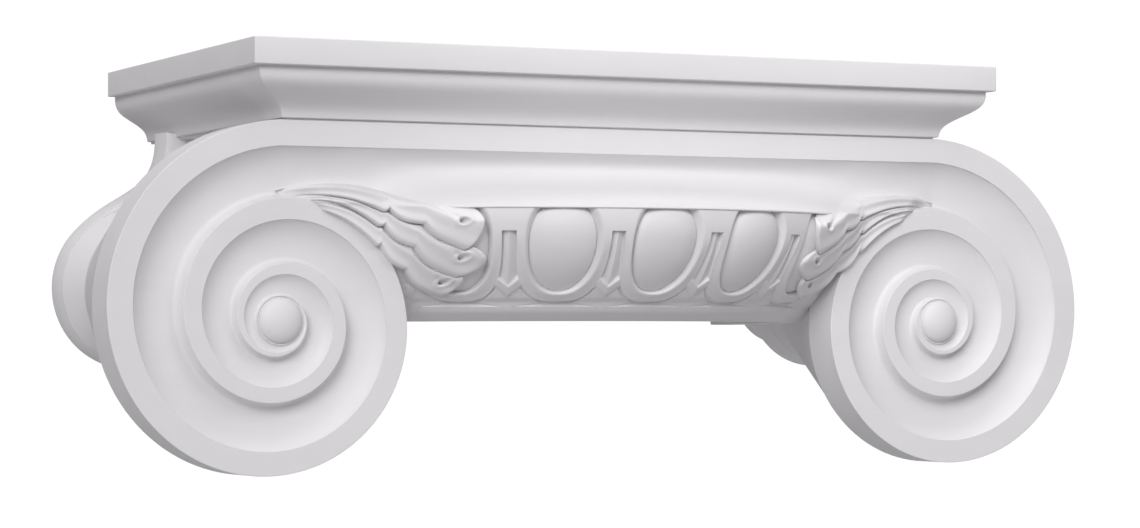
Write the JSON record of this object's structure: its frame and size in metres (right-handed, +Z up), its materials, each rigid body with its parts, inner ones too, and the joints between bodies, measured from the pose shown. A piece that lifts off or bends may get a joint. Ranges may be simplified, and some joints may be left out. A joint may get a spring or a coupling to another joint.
{
  "type": "ionic capital",
  "caption": "Half-column Ionic capital: a moulded top slab over scrolled volutes, with an egg-and-dart band and palmettes between them, and a flat back for a wall.",
  "frame": {"origin": "on the flat back, where it bears on the wall: mid-width, 35.5 mm below the top face and 35.5 mm above the ceiling of the shaft's socket", "axes": "+X to the viewer's right, +Y into the wall, +Z up"},
  "size_m": [0.4588, 0.2106, 0.1757],
  "materials": {
    "white_primer": "matt white primer on moulded rigid foam, ready to paint"
  },
  "bodies": {
    "root": {"ionic_capital": "white_primer"}
  },
  "joints": []
}
